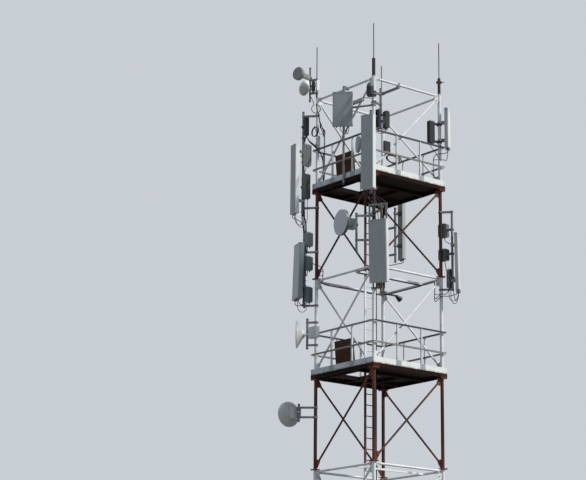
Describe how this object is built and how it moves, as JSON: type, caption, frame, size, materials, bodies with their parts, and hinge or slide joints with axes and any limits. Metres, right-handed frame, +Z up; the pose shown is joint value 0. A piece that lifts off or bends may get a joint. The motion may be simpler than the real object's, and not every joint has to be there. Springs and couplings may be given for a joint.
{
  "type": "cell tower",
  "caption": "Square bolted lattice tower in red and white bands with railed platforms, a ladder, hinged hatch covers, sector antennas, radio units, dishes and whip aerials.",
  "frame": {"origin": "centre of the underside of the left leg's base plate", "axes": "+Z up, +X along the front face from the left leg to the near leg, +Y from the front face to the back"},
  "size_m": [3.6775, 3.8162, 19.47],
  "materials": {
    "leg_paint": "bands of aged white and rusty red-brown paint with rust at the plates",
    "bracing_paint": "bands of aged white and rusty red-brown paint",
    "platform_steel": "dark red-brown paint, rusty",
    "deck_plate": "dark brown weathered plate",
    "toe_board_paint": "aged white paint",
    "railing_paint": "aged white paint",
    "hatch_plate": "rusty brown plate",
    "ladder_paint": "bands of white and red-brown paint",
    "galvanised_pipe": "dull galvanised",
    "panel_cover": "mid grey weathered cover",
    "radio_case": "dark grey case",
    "dish_paint": "light grey",
    "whip_metal": "dull grey rod",
    "lamp_case": "black",
    "box_case": "light grey",
    "antenna_case": "mid grey",
    "cable_jacket": "black"
  },
  "bodies": {
    "tower": {"leg_left": "leg_paint", "leg_near": "leg_paint", "leg_right": "leg_paint", "leg_far": "leg_paint", "side_front": "bracing_paint", "side_right": "bracing_paint", "side_back": "bracing_paint", "side_left": "bracing_paint", "platform_frame_upper": "platform_steel", "platform_frame_middle": "platform_steel", "platform_frame_lower": "platform_steel", "deck_upper": "deck_plate", "deck_middle": "deck_plate", "deck_lower": "deck_plate", "toe_boards_upper": "toe_board_paint", "toe_boards_middle": "toe_board_paint", "toe_boards_lower": "toe_board_paint", "railing_upper": "railing_paint", "railing_middle": "railing_paint", "railing_lower": "railing_paint", "ladder": "ladder_paint", "ladder_bearers": "ladder_paint", "mounts_left": "galvanised_pipe", "mounts_near": "galvanised_pipe", "mounts_right": "galvanised_pipe", "mounts_far": "galvanised_pipe", "mounts_front": "galvanised_pipe", "panel_left_upper": "panel_cover", "panel_left_lower": "panel_cover", "panel_near_upper": "panel_cover", "panel_near_lower": "panel_cover", "panel_right_upper": "panel_cover", "panel_right_lower": "panel_cover", "panel_front": "panel_cover", "panel_far": "panel_cover", "radios_left": "radio_case", "radios_near": "radio_case", "radios_right": "radio_case", "dish_top_grey": "dish_paint", "dish_top_white": "dish_paint", "dish_disc": "dish_paint", "dish_behind": "dish_paint", "dish_cone": "dish_paint", "dish_drum": "dish_paint", "whips": "whip_metal", "small_antennas": "antenna_case", "floodlight": "lamp_case", "junction_boxes": "box_case", "jumper_leads": "cable_jacket"},
    "upper_cover": {"hatch_cover_upper": "hatch_plate"},
    "middle_cover": {"hatch_cover_middle": "hatch_plate"},
    "lower_cover": {"hatch_cover_lower": "hatch_plate"}
  },
  "joints": [
    {"name": "upper_hatch_hinge", "type": "hinge", "parent": "tower", "child": "upper_cover", "pos_m": [0.99, 0.178, 15.467], "axis": [-1, 0, 0], "range_deg": [0, 95.5]},
    {"name": "middle_hatch_hinge", "type": "hinge", "parent": "tower", "child": "middle_cover", "pos_m": [0.99, 0.178, 10.467], "axis": [-1, 0, 0], "range_deg": [0, 95.5]},
    {"name": "lower_hatch_hinge", "type": "hinge", "parent": "tower", "child": "lower_cover", "pos_m": [0.99, 0.178, 5.467], "axis": [-1, 0, 0], "range_deg": [0, 95.5]}
  ]
}
